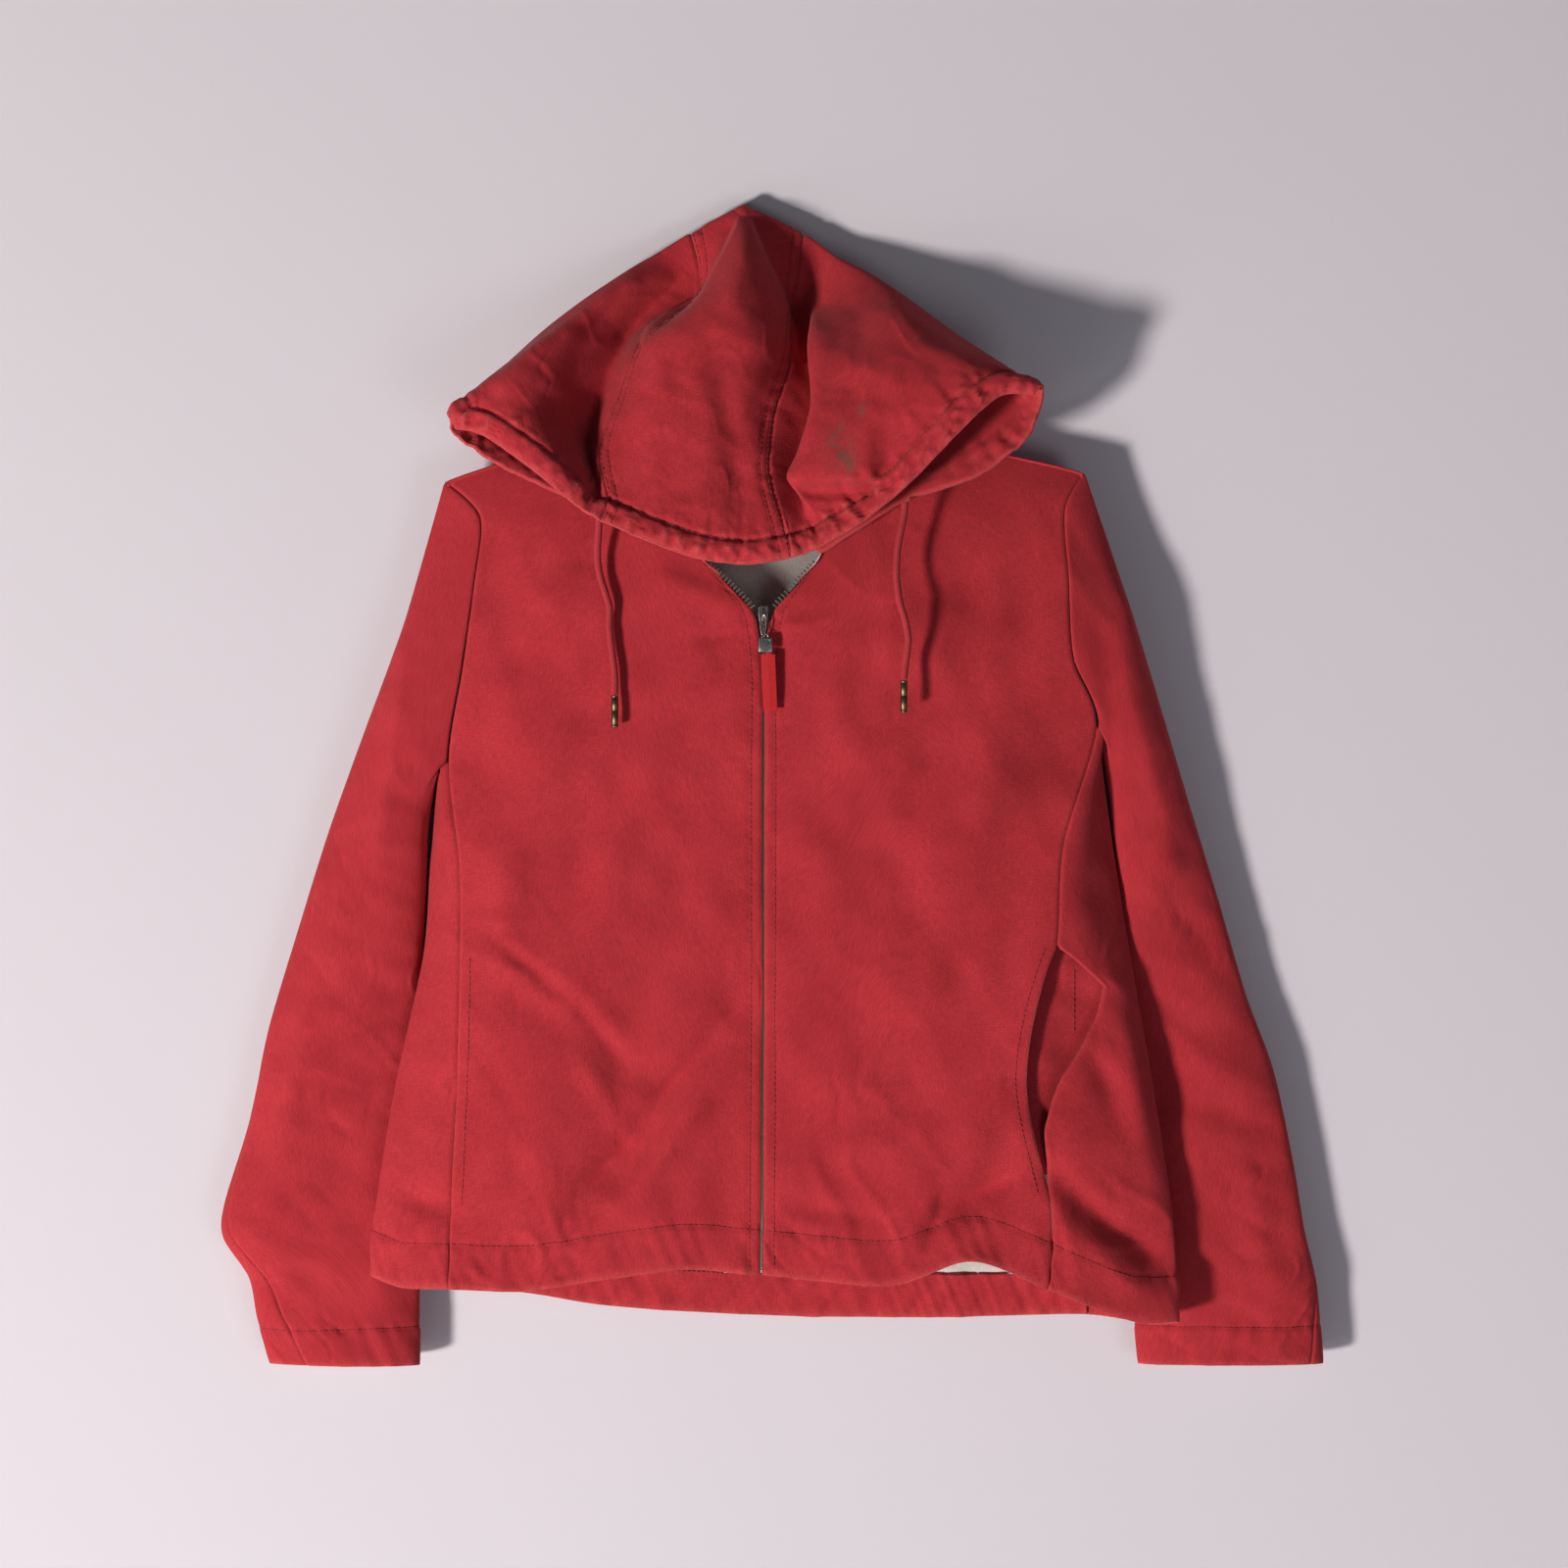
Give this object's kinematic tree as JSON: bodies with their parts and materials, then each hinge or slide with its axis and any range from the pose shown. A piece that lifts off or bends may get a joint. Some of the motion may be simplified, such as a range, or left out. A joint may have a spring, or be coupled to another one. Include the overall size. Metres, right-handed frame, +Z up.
{
  "type": "zip hoodie on a wall hook",
  "caption": "Cropped lined zip hoodie with a drawcord hood, hung on a wall by the crown of the hood from a small steel hook.",
  "frame": {"origin": "on the back face of the hook's wall plate, 2 mm below its top edge", "axes": "+Z up, +Y into the wall, +X to the right as seen from the front, which is the wearer's left"},
  "size_m": [0.7723, 0.1076, 0.8129],
  "materials": {
    "canvas": "washed, faded at the seams",
    "jersey": "heather knit",
    "zip_tape": "woven tape",
    "nickel": "nickel plate",
    "tab": "matt",
    "braid": "braided cord",
    "antique_brass": "antiqued",
    "hook_steel": "satin"
  },
  "bodies": {
    "hoodie": {"front_right": "canvas", "front_left": "canvas", "side_right": "canvas", "side_left": "canvas", "back": "canvas", "lining_back": "jersey", "hem_facing_back": "canvas", "pocket_facing_left": "canvas", "sleeve_right_upper": "canvas", "sleeve_right_under": "canvas", "sleeve_left_upper": "canvas", "sleeve_left_under": "canvas", "hood_right": "canvas", "hood_centre": "canvas", "hood_left": "canvas", "zip_tape_right": "zip_tape", "zip_tape_left": "zip_tape", "zip_slider": "nickel", "drawcord_right": "braid", "drawcord_left": "braid", "aglet_right": "antique_brass", "aglet_left": "antique_brass", "hook_plate": "hook_steel", "hook_arm": "hook_steel"},
    "zip_pull": {"zip_puller": "nickel", "zip_charm": "nickel", "zip_tab": "tab"}
  },
  "joints": [
    {"name": "pull_hinge", "type": "hinge", "parent": "hoodie", "child": "zip_pull", "pos_m": [0.0143, -0.0743, -0.2832], "axis": [-1, 0, 0], "range_deg": [0, 100]}
  ]
}
